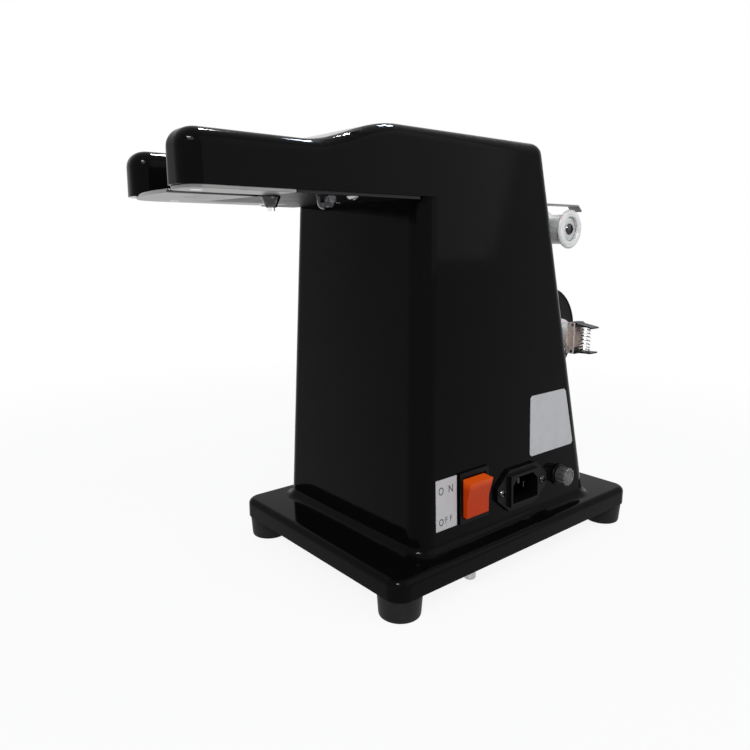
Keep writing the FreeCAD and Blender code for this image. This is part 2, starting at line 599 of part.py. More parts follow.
holder = cut(fuse([rod(("0", "0", "0"), "7.2", "1.6", "x"), rod(("-26", "0", "0"), "6.2", "26", "x")]),
             [rod(("-24", "0", "0"), "4.7", "30", "x")])
on_side("fuse_holder", holder, "fuse_along", "fuse_height")
ribs = [box(("2.6", "-0.7", "4.9"), ("6.6", "1.4", "1.2"))]
for count in range(1, 12):
    rib = box(("2.6", "-0.7", "4.9"), ("6.6", "1.4", "1.2"))
    angle = 30.0 * count
    rib.Placement = Placement(Vector(2.6, 0, 0), Rotation(Vector(1, 0, 0), angle)).multiply(
        Placement(Vector(0, -0.7, 4.9), Rotation()))
    for letter in "xyz":
        rib.setExpression("Placement.Base." + letter, None)
    ribs.append(rib)
cap = fuse([rod(("1.9", "0", "0"), "5.5", "7.5", "x"), rod(("-6", "0", "0"), "4.5", "7.9", "x")] + ribs)
on_side("fuse_cap", cap, "fuse_along", "fuse_height")
on_side("fuse_link", group([rod(("-24", "0", "0"), "2.6", "18", "x")]), "fuse_along", "fuse_height")
label_flat = sketch_body("pad", [("-8.5", "-15.2"), ("8.5", "-15.2"), ("8.5", "15.2"), ("-8.5", "15.2")], "0.3")
label_flat.Placement = Placement(Vector(0, 0, 0), Rotation(Vector(1, 1, 1), 120))
on_side("switch_label", group([label_flat]), "-23.5", "switch_height")
plate_flat = sketch_body("pad", [("-21.5", "-18.2"), ("-20", "-19.8"), ("23.5", "-19.8"), ("25.2", "-18"),
                                 ("16.2", "18"), ("14.4", "19.8"), ("-20", "19.8"), ("-21.5", "18.2")], "0.5")
plate_flat.Placement = Placement(Vector(0, 0, 0), Rotation(Vector(1, 1, 1), 120))
on_side("side_plate", group([plate_flat]), "74.5", "86")

# Rear bracket, guide roller and guard
top_z = "(roller_height + 15.2)"
bracket_top = size["roller_height"] + 15.2
reel_y = size["overall_length"] / 2 - size["disc_radius"]
reel_z = size["reel_height"]
rear_points = [(rear_face(bracket_top), bracket_top), (size["roller_along"] + 7, bracket_top),
               (size["roller_along"] + 7, size["roller_height"] - 7), (rear_face(178) + 10, 178),
               (rear_face(160) + 14, 160), (reel_y + 7, reel_z + 8), (reel_y + 7, reel_z - 7),
               (reel_y - 6, reel_z - 12), (rear_face(118) + 4, 118), (rear_face(118), 118)]
side_sheet = Part.Face(Part.makePolygon([Vector(12, y, z) for y, z in rear_points + rear_points[:1]]))
side_sheet = side_sheet.extrude(Vector(3, 0, 0))
foot_sheet = Part.makeBox(19, 3, 104, Vector(-4, 0, 0))
foot_sheet.Placement = Placement(Vector(0, rear_face(118), 118), rear_turn)
rear_bracket = side_sheet.fuse(foot_sheet).removeSplitter()
rear_cuts = [Part.makeCylinder(3.0, 10, Vector(9, size["roller_along"], size["roller_height"]), Vector(1, 0, 0)),
             Part.makeCylinder(4.0, 10, Vector(9, reel_y, reel_z), Vector(1, 0, 0))]
for height in (140.0, 200.0):
    hole = Part.makeCylinder(2.1, 14, Vector(0, -5, 0), Vector(0, 1, 0))
    hole.Placement = Placement(Vector(5.0, rear_face(height), height), rear_turn)
    rear_cuts.append(hole)
feature("rear_bracket", rear_bracket.cut(rear_cuts))
bolts = []
for height in ("140", "200"):
    bolt = fuse([rod(("0", "3", "0"), "3.6", "2.2", "y"), rod(("0", "-6", "0"), "2", "9", "y"),
                 hexagon(("0", "-5.8", "0"), "6", "2.7", "y")])
    bolts.append(put(bolt, ("5", rear_at(height), height), rear_turn))
node("bracket_bolts", group(bolts))

roller_mid = ("roller_along", "roller_height")
roller = sketch_body("turned", [("3 + fit_gap", "0"), ("flange_radius", "0"), ("flange_radius", "2.2"), ("10", "3.2"),
                                ("10", "roller_outer - roller_inner - 3.2"),
                                ("flange_radius", "roller_outer - roller_inner - 2.4"),
                                ("flange_radius", "roller_outer - roller_inner - 0.8"),
                                ("flange_radius - 0.8", "roller_outer - roller_inner"),
                                ("8.2", "roller_outer - roller_inner"), ("7.9", "roller_outer - roller_inner - 2.5"),
                                ("3 + fit_gap", "roller_outer - roller_inner - 2.5")])
node("guide_roller", put(roller, ("roller_inner",) + roller_mid, turns["x"]))
node("roller_axle", fuse([rod(("12",) + roller_mid, "3", "roller_outer - 14.2", "x"),
                          rod(("15",) + roller_mid, "4.6", "roller_inner - 15 - free_gap", "x")]))
node("roller_screw", fuse([rod(("roller_outer - 2.2",) + roller_mid, "6.6", "0.6", "x"),
                           rod(("roller_outer - 1.6",) + roller_mid, "3.6", "1.4", "x")]))
guard = [(rear_face(bracket_top) + 0.2, bracket_top), (size["roller_along"] + 6.6, bracket_top),
         (size["roller_along"] + 10.8, bracket_top - 3.6), (size["roller_along"] + 11.5, bracket_top - 2.8),
         (size["roller_along"] + 7, bracket_top + 1), (rear_face(bracket_top) + 0.2, bracket_top + 1)]
guard_face = Part.Face(Part.makePolygon([Vector(12, y, z) for y, z in guard + guard[:1]]))
guard_strip = guard_face.extrude(Vector(size["roller_outer"] - 12, 0, 0))
window = Part.makeBox(size["roller_outer"] - 12 - 8.5, 80, 12,
                      Vector(12, rear_face(bracket_top) + 11, bracket_top - 6))
tab = Part.makeBox(3, 12, 1, Vector(12, rear_face(bracket_top) + 10.5, bracket_top))
feature("roller_guard", guard_strip.cut(window).fuse(tab).removeSplitter())

# Reel holder: spindle, back disc, hub and the quick clip on the end
reel_mid = ("overall_length / 2 - disc_radius", "reel_height")
node("reel_spindle", rod(("12",) + reel_mid, "4", "spindle_end - 12 - 4", "x"))
disc = sketch_body("turned", [("4.05", "0"), ("disc_radius - 1", "0"), ("disc_radius", "0.6"),
                              ("disc_radius", "1.8"), ("disc_radius - 0.6", "2.4"), ("4.05", "2.4")])
node("reel_disc", put(disc, ("disc_face - 2.2",) + reel_mid, turns["x"]))
hub_core = sketch_body("turned", [("4.05", "0"), ("13.6", "0"), ("12.2", "spindle_end - disc_face - 9.6"),
                                  ("11.2", "spindle_end - disc_face - 8.5"), ("4.05", "spindle_end - disc_face - 8.5")])
node("reel_hub", put(hub_core, ("disc_face + 0.2",) + reel_mid, turns["x"]))
knob = fuse([rod(("spindle_end - 8",) + reel_mid, "9", "8", "x")] +
            [box(("spindle_end - 1", "overall_length / 2 - disc_radius %s" % y, "reel_height - 11.2"), ("5.6", "1.5", "22.4"))
             for y in ("- 6.3", "+ 4.8")])
pin_x = "spindle_end + 3.4"
knob = cut(knob, [rod(("spindle_end - 8",) + reel_mid, "4", "4", "x")] +
           [rod((pin_x, "overall_length / 2 - disc_radius - 7", "reel_height %s" % z), "1.1", "14", "y")
            for z in ("- 9.6", "+ 9.6")])
node("clip_block", knob)
node("clip_pins", group([rod((pin_x, "overall_length / 2 - disc_radius - 6.3", "reel_height %s" % z), "1.1", "12.6", "y")
                         for z in ("- 9.6", "+ 9.6")] + [rod(("spindle_end",) + reel_mid, "1.7", "0.7", "x")]))
for label, sign in (("clip_lever_upper", 1), ("clip_lever_lower", -1)):
    end_top, end_low = (-0.8, -1.9) if sign > 0 else (0.5, -0.6)
    wing = [(-4.6, 1.6), (-1.4, 2.0), (1.6, 2.0), (3.4, 0.9), (14.6, end_top), (14.6, end_low), (2.2, -0.2),
            (1.3, -1.9), (-1.9, -1.9), (-2.9, 0.2), (-4.6, 0.4)]
    spots = [Vector(x, -4.4, sign * z) for x, z in wing]
    blade = Part.Face(Part.makePolygon(spots + spots[:1])).extrude(Vector(0, 8.8, 0))
    blade = blade.cut(Part.makeCylinder(1.15, 20, Vector(0, -10, 0), Vector(0, 1, 0)))
    spot = Vector(size["spindle_end"] + 3.4, reel_y, reel_z + sign * 9.6)
    feature(label, blade, Placement(spot, Rotation()))
coil_low, coil_high, coil_x = reel_z - 9.1, reel_z + 8.2, size["spindle_end"] + 10.0
hoops = []
rings = 7
pitch = (coil_high - coil_low - 1.0) / (rings - 1)
for i in range(rings):
    middle = Vector(coil_x, reel_y, coil_low + 0.5 + i * pitch)
    hoops.append(Part.makeTorus(3.7, 0.5, middle))
riser = Part.makeBox(0.9, 1.2, coil_high - coil_low - 1.0, Vector(coil_x - 4.2, reel_y - 0.6, coil_low + 0.5))
coil = riser
for hoop in hoops:
    coil = coil.fuse(hoop)
feature("clip_spring", coil)

doc.recompute()
bad = [o.Label for o in doc.Objects if "Invalid" in o.State or "Error" in o.State]
if bad:
    raise SystemExit("failed objects: %s" % bad)
for label, made in nodes.items():
    shape = made.Shape
    if shape.isNull() or not shape.isValid() or not shape.Solids:
        raise SystemExit("bad shape: " + label)
for label, made in nodes.items():
    made.Shape.exportStep(os.path.join("parts", label + ".step"))
whole = Part.makeCompound([made.Shape for made in nodes.values()])
limits = whole.BoundBox
print(len(nodes), "pieces", [round(v, 2) for v in (limits.XMin, limits.XMax, limits.YMin, limits.YMax, limits.ZMin, limits.ZMax)])
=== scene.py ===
import json
import math

import bmesh
import bpy
import numpy as np
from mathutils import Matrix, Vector


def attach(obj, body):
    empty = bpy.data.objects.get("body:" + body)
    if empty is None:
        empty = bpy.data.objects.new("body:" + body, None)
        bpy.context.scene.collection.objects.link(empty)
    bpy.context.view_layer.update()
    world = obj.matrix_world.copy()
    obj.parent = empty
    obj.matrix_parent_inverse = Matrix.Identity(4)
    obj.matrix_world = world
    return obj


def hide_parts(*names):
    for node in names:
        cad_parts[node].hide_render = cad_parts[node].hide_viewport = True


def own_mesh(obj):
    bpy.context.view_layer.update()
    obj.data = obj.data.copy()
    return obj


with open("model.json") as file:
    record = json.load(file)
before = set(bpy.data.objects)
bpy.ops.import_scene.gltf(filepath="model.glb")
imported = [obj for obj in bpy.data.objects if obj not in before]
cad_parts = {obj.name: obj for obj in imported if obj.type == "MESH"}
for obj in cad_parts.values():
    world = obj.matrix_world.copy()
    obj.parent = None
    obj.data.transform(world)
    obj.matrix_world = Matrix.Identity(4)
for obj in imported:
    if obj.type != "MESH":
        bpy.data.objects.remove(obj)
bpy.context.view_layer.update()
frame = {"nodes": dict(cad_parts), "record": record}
mm = 0.001
nodes = frame["nodes"]
bodyOf = {name: body for body, names in frame["record"]["behaviour"]["bodies"].items() for name in names}
print("frame loaded:", len(nodes), "nodes")

camera = {"place": (0.317519, -0.286271, 0.202535), "tiltDegrees": 78.591, "turnDegrees": 50.044,
          "lens": 32.03, "sensor": 36.0, "near": 0.01}

eye = bpy.data.objects.new("viewCamera", bpy.data.cameras.new("viewCamera"))
eye.data.lens = camera["lens"]
eye.data.sensor_width = camera["sensor"]
eye.data.clip_start = camera["near"]
eye.location = camera["place"]
eye.rotation_euler = (math.radians(camera["tiltDegrees"]), 0.0, math.radians(camera["turnDegrees"]))
bpy.context.scene.collection.objects.link(eye)
bpy.context.scene.camera = eye
bpy.context.scene.view_settings.view_transform = "Standard"


# Wire holds one output socket, so that sums and products written on it add Math nodes
class Wire:
    def __init__(self, paint, socket):
        self.paint, self.socket = paint, socket

    def __add__(self, other):
        return self.paint.maths("ADD", self, other)

    def __radd__(self, other):
        return self.paint.maths("ADD", other, self)

    def __sub__(self, other):
        return self.paint.maths("SUBTRACT", self, other)

    def __rsub__(self, other):
        return self.paint.maths("SUBTRACT", other, self)

    def __mul__(self, other):
        return self.paint.maths("MULTIPLY", self, other)

    def __truediv__(self, other):
        return self.paint.maths("DIVIDE", self, other)

    def clip(self):
        return self.paint.node("ShaderNodeClamp", {}, {"Value": self})

    def above(self, edge, soft):
        return ((self - edge) / soft).clip()


# Paint is one material: constants go straight on its shader, patterns come through node()
class Paint:
    def __init__(self, name, constants):
        self.material = bpy.data.materials.new(name)
        self.material.use_nodes = True
        self.tree = self.material.node_tree
        self.shader = self.tree.nodes["Principled BSDF"]
        for socketName, value in constants.items():
            self.shader.inputs[socketName].default_value = value
        self.place = self.node("ShaderNodeTexCoord", {}, {}, "Object")

    def node(self, kind, settings, values, output=0):
        made = self.tree.nodes.new(kind)
        for key, value in settings.items():
            setattr(made, key, value)
        for key, value in values.items():
            self.join(made.inputs[key], value)
        return Wire(self, made.outputs[output])

    def join(self, socket, value):
        if isinstance(value, Wire):
            self.tree.links.new(value.socket, socket)
        elif isinstance(value, tuple) and len(value) == 3 and socket.type == "RGBA":
            socket.default_value = value + (1.0,)
        else:
            socket.default_value = value

    def maths(self, operation, first, second):
        return self.node("ShaderNodeMath", {"operation": operation}, {0: first, 1: second})

    def stretched(self, scale, turn=(0.0, 0.0, 0.0)):
        return self.node("ShaderNodeMapping", {}, {"Vector": self.place, "Scale": scale, "Rotation": turn})

    def noise(self, scale, detail=3.0, rough=0.5, where=None):
        where = self.place if where is None else where
        values = {"Vector": where, "Scale": scale, "Detail": detail, "Roughness": rough}
        return self.node("ShaderNodeTexNoise", {}, values, "Fac")

    def cells(self, scale, output="Distance"):
        return self.node("ShaderNodeTexVoronoi", {}, {"Vector": self.place, "Scale": scale}, output)

    def blend(self, factor, first, second):
        values = {0: factor, 6: first, 7: second}
        return self.node("ShaderNodeMix", {"data_type": "RGBA"}, values, 2)

    def colour(self, value):
        self.join(self.shader.inputs["Base Color"], value)

    def rough(self, value):
        self.join(self.shader.inputs["Roughness"], value)

    def relief(self, height, distance, strength=1.0):
        values = {"Height": height, "Distance": distance, "Strength": strength}
        self.join(self.shader.inputs["Normal"], self.node("ShaderNodeBump", {}, values, "Normal"))


paints = {}


# Deep black moulding: faint orange peel, dust specks and wiped smears in the gloss
def glossBlack():
    look = {"deep": (0.0018, 0.0018, 0.0021), "pale": (0.0030, 0.0030, 0.0034), "dust": (0.030, 0.030, 0.031)}
    paint = Paint("glossBlack", {"Specular IOR Level": 0.034})
    cloud = paint.noise(9.0, 4.0, 0.55)
    smear = paint.noise(1.0, 5.0, 0.6, paint.stretched((55.0, 55.0, 11.0), (0.3, 0.2, 0.0)))
    speck = 1.0 - paint.cells(950.0).above(0.10, 0.05)
    rare = paint.noise(70.0, 2.0).above(0.60, 0.08)
    dust = speck * rare * 0.5
    paint.colour(paint.blend(dust, paint.blend(cloud, look["deep"], look["pale"]), look["dust"]))
    paint.rough(0.07 + smear.above(0.46, 0.2) * 0.05 + dust * 0.3)
    paint.relief(paint.noise(330.0, 2.0) * 0.7 + paint.noise(45.0, 1.0), 0.00005, 0.3)
    return paint


# Satin coat on folded steel: fine powder grain, a little paler where it is rubbed
def satinBlack():
    look = {"deep": (0.0075, 0.0075, 0.008), "rubbed": (0.02, 0.02, 0.021)}
    paint = Paint("satinBlack", {"Specular IOR Level": 0.2})
    rub = paint.noise(60.0, 5.0, 0.62).above(0.52, 0.22)
    paint.colour(paint.blend(rub, look["deep"], look["rubbed"]))
    paint.rough(0.42 + rub * 0.14)
    paint.relief(paint.noise(1900.0, 2.0), 0.00008, 0.5)
    return paint


# Moulded rubber: matt, slightly chalky, with a fine pebble
def blackRubber():
    look = {"deep": (0.009, 0.009, 0.0095), "chalk": (0.021, 0.021, 0.0215)}
    paint = Paint("blackRubber", {"Specular IOR Level": 0.12})
    chalk = paint.noise(110.0, 5.0, 0.7).above(0.5, 0.3)
    paint.colour(paint.blend(chalk, look["deep"], look["chalk"]))
    paint.rough(0.5 + chalk * 0.2)
    paint.relief(paint.noise(1500.0, 3.0) + paint.cells(700.0), 0.0001, 0.35)
    return paint


# Sheet steel brushed along the arms, with faint tarnish and long hair scratches
def brushedSteel(name, along, tone):
    paint = Paint(name, {"Metallic": 1.0})
    across = tuple(14.0 if i == along else 1500.0 for i in range(3))
    hair = paint.noise(1.0, 4.0, 0.7, paint.stretched(across))
    stain = paint.noise(38.0, 4.0, 0.6)
    dark = tuple(c * 0.62 for c in tone)
    paint.colour(paint.blend(hair * 0.5 + stain.above(0.5, 0.3) * 0.35, tone, dark))
    paint.rough(0.24 + hair * 0.18 + stain.above(0.55, 0.2) * 0.1)
    paint.relief(hair, 0.00006, 0.4)
    return paint


# Bright plating: near mirror, with soft smudges
def brightPlate():
    look = {"bright": (0.80, 0.80, 0.81), "smudge": (0.55, 0.55, 0.56)}
    paint = Paint("brightPlate", {"Metallic": 1.0})
    smudge = paint.noise(260.0, 4.0, 0.6).above(0.52, 0.25)
    paint.colour(paint.blend(smudge * 0.7, look["bright"], look["smudge"]))
    paint.rough(0.08 + smudge * 0.16)
    paint.relief(paint.noise(900.0, 2.0), 0.00003, 0.3)
    return paint


# Zinc plate: grey with pale cloudy crystals
def zincPlate():
    look = {"pale": (0.56, 0.57, 0.58), "grey": (0.36, 0.36, 0.365)}
    paint = Paint("zincPlate", {"Metallic": 1.0})
    crystal = paint.node("ShaderNodeSeparateColor", {}, {"Color": paint.cells(650.0, "Color")})
    paint.colour(paint.blend(crystal * 0.6 + paint.noise(90.0) * 0.4, look["pale"], look["grey"]))
    paint.rough(0.26 + crystal * 0.16)
    paint.relief(paint.noise(1400.0, 3.0), 0.00004, 0.4)
    return paint


# Clear orange moulding: deeper where it is thick, with fine ribs behind the face, and painted light: the
# whole part glows, and the glow grows into a painted highlight towards the top facet
def clearOrange():
    # The last two colours below are painted glow; the emission strength makes the whole part glow as painted
    # light
    look = {"hot": (0.30, 0.022, 0.001), "deep": (0.17, 0.012, 0.0005), "lamp": (1.0, 0.150, 0.012),
            "dim": (0.36, 0.030, 0.001), "glowFrom": 0.0600, "glowOver": 0.0075}
    paint = Paint("clearOrange", {"Specular IOR Level": 0.08, "Subsurface Weight": 0.1,
                                  "Subsurface Scale": 0.004, "Subsurface Radius": (1.0, 0.25, 0.06),
                                  "Emission Strength": 0.42})
    rib = paint.node("ShaderNodeTexWave", {"bands_direction": "Z", "wave_profile": "SIN"},
                     {"Vector": paint.place, "Scale": 260.0, "Distortion": 0.0}, "Fac")
    cloud = paint.noise(140.0, 3.0)
    paint.colour(paint.blend((rib * 0.35 + cloud * 0.5).clip(), look["hot"], look["deep"]))
    # Painted highlight: the emission colour brightens with height, so the top facet reads as lit
    height = paint.node("ShaderNodeSeparateXYZ", {}, {0: paint.place}, 2)
    glow = paint.blend(height.above(look["glowFrom"], look["glowOver"]), look["dim"], look["lamp"])
    paint.join(paint.shader.inputs["Emission Color"], glow)
    paint.rough(0.2 + cloud * 0.12)
    paint.relief(cloud, 0.00005, 0.3)
    return paint


# Matt black moulding: spark-finished skin
def mattBlack():
    look = {"deep": (0.0020, 0.0020, 0.0022), "worn": (0.0048, 0.0048, 0.005)}
    paint = Paint("mattBlack", {"Specular IOR Level": 0.08})
    worn = paint.noise(160.0, 4.0, 0.6).above(0.5, 0.3)
    paint.colour(paint.blend(worn, look["deep"], look["worn"]))
    paint.rough(0.36 + worn * 0.16)
    paint.relief(paint.noise(2400.0, 2.0), 0.00006, 0.6)
    return paint


# Dark polished steel: deep in the middle of a dome, bright where the surface turns away
def darkPolish():
    look = {"deep": (0.045, 0.045, 0.048), "worn": (0.22, 0.22, 0.225)}
    paint = Paint("darkPolish", {"Metallic": 1.0})
    worn = paint.noise(420.0, 4.0, 0.6).above(0.55, 0.2)
    paint.colour(paint.blend(worn, look["deep"], look["worn"]))
    paint.rough(0.10 + worn * 0.12)
    paint.relief(paint.noise(800.0, 2.0), 0.00003, 0.3)
    return paint


# Turned metals and castings inside share one grainy recipe
def grainyMetal(name, pale, dark, metallic, roughness, grain):
    paint = Paint(name, {"Metallic": metallic})
    cloud = paint.noise(grain, 5.0, 0.6)
    paint.colour(paint.blend(cloud.above(0.35, 0.4), pale, dark))
    paint.rough(roughness + cloud * 0.16)
    paint.relief(paint.noise(grain * 9.0, 3.0), 0.0001, 0.5)
    return paint


# Plain mouldings: a little mottled, soft skin
def moulding(name, pale, dark, roughness, grain, constants):
    paint = Paint(name, constants)
    cloud = paint.noise(grain, 4.0, 0.55)
    paint.colour(paint.blend(cloud.above(0.38, 0.35), pale, dark))
    paint.rough(roughness + cloud * 0.14)
    paint.relief(paint.noise(grain * 12.0, 2.0), 0.00006, 0.4)
    return paint


# Clip block: white boss on the hub side, and beyond it a pale brown fibre with speckles
def fibreBlock():
    look = {"base": (0.47, 0.37, 0.33), "pale": (0.60, 0.54, 0.50), "dark": (0.30, 0.17, 0.15),
            "boss": (0.60, 0.61, 0.57), "bossEnd": 0.0398}
    paint = Paint("fibreBlock", {"Specular IOR Level": 0.3})
    flake = paint.noise(300.0, 5.0, 0.65)
    spot = 1.0 - paint.cells(420.0).above(0.12, 0.12)
    tone = paint.blend(flake.above(0.42, 0.25), look["base"], look["pale"])
    beyond = paint.node("ShaderNodeSeparateXYZ", {}, {0: paint.place}, 0).above(look["bossEnd"], 0.0004)
    paint.colour(paint.blend(beyond, look["boss"], paint.blend(spot * 0.6, tone, look["dark"])))
    paint.rough(0.5 + flake * 0.2)
    paint.relief(flake, 0.00012, 0.5)
    return paint


# Printed film: paper-white or silver, with a slightly soiled rim
def film(name, tone, soiled, metallic, roughness):
    paint = Paint(name, {"Metallic": metallic})
    cloud = paint.noise(120.0, 4.0, 0.6)
    fibre = paint.noise(1.0, 3.0, 0.6, paint.stretched((900.0, 900.0, 220.0)))
    paint.colour(paint.blend((cloud.above(0.45, 0.4) * 0.6 + fibre * 0.25).clip(), tone, soiled))
    paint.rough(roughness + cloud * 0.15)
    paint.relief(fibre, 0.00003, 0.3)
    return paint


# Clear tube of the fuse, smoky with a faint wire colour
def clearTube():
    paint = Paint("clearTube", {"Transmission Weight": 0.85, "IOR": 1.45})
    haze = paint.noise(300.0, 3.0)
    paint.colour(paint.blend(haze, (0.86, 0.9, 0.9), (0.7, 0.74, 0.74)))
    paint.rough(0.04 + haze * 0.08)
    return paint


paints["black_shell"] = glossBlack()
paints["black_steel"] = satinBlack()
paints["rubber"] = blackRubber()
paints["steel"] = brushedSteel("steelSheet", 1, (0.225, 0.222, 0.22))
paints["bright"] = brightPlate()
paints["zinc"] = zincPlate()
paints["orange"] = clearOrange()
paints["black_plastic"] = mattBlack()
paints["brass"] = grainyMetal("brassTurned", (0.72, 0.50, 0.20), (0.50, 0.33, 0.12), 1.0, 0.18, 140.0)
paints["grey_plastic"] = moulding("greyMoulding", (0.062, 0.062, 0.061), (0.036, 0.036, 0.0355), 0.34,
                                  150.0, {})
paints["white_nylon"] = moulding("whiteNylon", (0.70, 0.70, 0.69), (0.58, 0.58, 0.57), 0.32, 90.0,
                                 {"Subsurface Weight": 0.2, "Subsurface Scale": 0.002})
paints["pink_block"] = fibreBlock()
paints["label_white"] = film("whiteFilm", (0.44, 0.425, 0.43), (0.36, 0.345, 0.35), 0.0, 0.35)
paints["plate_silver"] = film("silverFilm", (0.42, 0.42, 0.43), (0.34, 0.34, 0.35), 0.2, 0.32)
paints["board_green"] = moulding("boardLacquer", (0.02, 0.16, 0.06), (0.012, 0.10, 0.04), 0.24, 200.0, {})
paints["grey_cast"] = grainyMetal("greyCasting", (0.25, 0.26, 0.27), (0.16, 0.165, 0.17), 0.6, 0.42, 90.0)
paints["clear_glass"] = clearTube()
paints["dark_polish"] = darkPolish()
paints["ink"] = moulding("printInk", (0.012, 0.012, 0.014), (0.03, 0.03, 0.032), 0.5, 600.0, {})
print("materials made:", len(paints))

slotOf = {item["node"]: item["material_slot"] for item in frame["record"]["subparts"]}
for name, piece in nodes.items():
    piece.data.materials.clear()
    piece.data.materials.append(paints[slotOf[name]].material)
print("frame nodes painted")


# One patch: points and faces of a grid, where row i, column j joins its next neighbours and wrapped sides
# join round
def patch(points, wrapRows=False, wrapColumns=False, capEnds=False):
    rows, columns = points.shape[:2]
    i = np.arange(rows if wrapRows else rows - 1)[:, None]
    j = np.arange(columns if wrapColumns else columns - 1)[None, :]
    nextI, nextJ = (i + 1) % rows, (j + 1) % columns
    corners = [i * columns + j, nextI * columns + j, nextI * columns + nextJ, i * columns + nextJ]
    quads = np.stack([np.broadcast_to(c, (i.size, j.size)) for c in corners], -1).reshape(-1, 4)
    faces = quads.tolist()
    if capEnds:
        faces.append(list(range(columns)))
        faces.append(list(range((rows - 1) * columns, rows * columns))[::-1])
    return points.reshape(-1, 3), faces


# A piece from one or more patches; doubles at seams and poles merge, faces turn outwards,
# and shading is smooth below the given angle
def built(name, patches, angle=32.0):
    spots = np.concatenate([points for points, faces in patches])
    starts = np.cumsum([0] + [len(points) for points, faces in patches])
    faces = [[index + int(start) for index in face]
             for (points, own), start in zip(patches, starts) for face in own]
    mesh = bpy.data.meshes.new(name)
    mesh.from_pydata(spots.tolist(), [], faces)
    work = bmesh.new()
    work.from_mesh(mesh)
    bmesh.ops.remove_doubles(work, verts=work.verts, dist=2e-7)
    bmesh.ops.dissolve_degenerate(work, edges=work.edges, dist=1e-8)
    bmesh.ops.recalc_face_normals(work, faces=work.faces)
    for face in work.faces:
        face.smooth = True
    for edge in work.edges:
        edge.smooth = len(edge.link_faces) == 2 and edge.calc_face_angle(0.0) < math.radians(angle)
    work.to_mesh(mesh)
    work.free()
    piece = bpy.data.objects.new(name, mesh)
    bpy.context.scene.collection.objects.link(piece)
    return piece


def finished(piece, paint, body, replaced=()):
    piece.data.materials.clear()
    piece.data.materials.append(paints[paint].material)
    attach(piece, body)
    if replaced:
        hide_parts(*replaced)
    return piece


# Corners of a closed outline become short arcs: a point slides from one side of the corner to the other
# along a square curve, as far out as the reach allows
def eased(outline, reach, steps=4):
    spots = np.array(outline, float)
    back, ahead = np.roll(spots, 1, 0) - spots, np.roll(spots, -1, 0) - spots
    shareBack = np.minimum(0.45, reach / np.linalg.norm(back, axis=1))[:, None]
    shareAhead = np.minimum(0.45, reach / np.linalg.norm(ahead, axis=1))[:, None]
    first, last = spots + back * shareBack, spots + ahead * shareAhead
    t = np.linspace(0.0, 1.0, steps)[None, :, None]
    arcs = (1 - t) ** 2 * first[:, None] + 2 * t * (1 - t) * spots[:, None] + t ** 2 * last[:, None]
    return arcs.reshape(-1, 2)


# Side and up directions for a piece whose own axis points along axis
def sideways(axis):
    axis = np.array(axis, float) / np.linalg.norm(axis)
    guide = np.array((0.0, 0.0, 1.0)) if abs(axis[2]) < 0.9 else np.array((0.0, 1.0, 0.0))
    side = np.cross(guide, axis)
    side /= np.linalg.norm(side)
    return axis, side, np.cross(axis, side)


# Turned patch: centre + axis * along + radius * (cos turn * side + sin turn * up); radius and along come
# from the closed outline in millimetres, and flute may add to the radius at each turn
def turned(centre, axis, outline, steps=72, flute=None):
    axis, side, up = sideways(axis)
    turn = np.linspace(0.0, 2 * math.pi, steps, endpoint=False)[:, None]
    radius = outline[:, 0][None, :] * mm + 0.0 * turn
    along = outline[:, 1][None, :] * mm + 0.0 * turn
    if flute is not None:
        radius = radius + flute(turn, radius, along)
    ring = np.cos(turn)[..., None] * side + np.sin(turn)[..., None] * up
    points = np.array(centre, float) * mm + along[..., None] * axis + radius[..., None] * ring
    return patch(points, wrapRows=True, wrapColumns=True)


# Screw head: a dome whose height falls with the square of the radius, sunk by a smooth cross or slot,
# closed by its rim and a flat back
def screwHead(centre, axis, look, steps=96):
    axis, side, up = sideways(axis)
    turn = np.linspace(0.0, 2 * math.pi, steps, endpoint=False)[:, None]
    share = np.linspace(0.0, 1.0, 26)[None, :]
    radius = look["radius"] * share + 0.0 * turn
    across, upward = radius * np.cos(turn), radius * np.sin(turn)
    flank, end = 0.12, 0.25
    arm = np.clip((look["arm"] - np.abs(upward)) / flank, 0, 1)
    arm = arm * np.clip((look["reach"] - np.abs(across)) / end, 0, 1)
    if look["cross"]:
        other = np.clip((look["arm"] - np.abs(across)) / flank, 0, 1)
        arm = np.maximum(arm, other * np.clip((look["reach"] - np.abs(upward)) / end, 0, 1))
    height = look["rise"] * (1 - 0.55 * share ** 2 - 0.45 * share ** 8) - look["depth"] * arm
    radius = np.concatenate([radius, radius[:, -1:], 0.0 * radius[:, -1:]], 1)
    height = np.concatenate([height, 0.0 * turn - look["sunk"], 0.0 * turn - look["sunk"]], 1)
    ring = np.cos(turn)[..., None] * side + np.sin(turn)[..., None] * up
    points = (np.array(centre, float) + height[..., None] * axis + radius[..., None] * ring) * mm
    return patch(points, wrapRows=True)


# Carried patch: each section point stands on the path, out along its normal and its binormal
def carried(path, section, guide):
    tangent = np.gradient(path, axis=0)
    tangent /= np.linalg.norm(tangent, axis=1)[:, None]
    normal = np.cross(np.broadcast_to(guide, tangent.shape), tangent)
    normal /= np.linalg.norm(normal, axis=1)[:, None]
    binormal = np.cross(tangent, normal)
    points = path[:, None, :] + section[None, :, :1] * normal[:, None, :]
    points = points + section[None, :, 1:] * binormal[:, None, :]
    return patch(points * mm, wrapColumns=True, capEnds=True)


tower = {"half": 68.55, "from": 26.3, "lean": 9.05 / 233.8}


# Place on the leaning side of the tower: outwards, along and up in millimetres from a fitting's middle
def onSide(along, height, out=0.0, sidestep=0.0, up=0.0):
    lean = math.atan(tower["lean"])
    normal = np.array((math.cos(lean), 0.0, math.sin(lean)))
    upright = np.array((-math.sin(lean), 0.0, math.cos(lean)))
    foot = np.array((tower["half"] - (height - tower["from"]) * tower["lean"], along, height))
    return foot + normal * out + np.array((0.0, 1.0, 0.0)) * sidestep + upright * up, normal, upright


looks = {"inlet_pins": "dark_polish"}


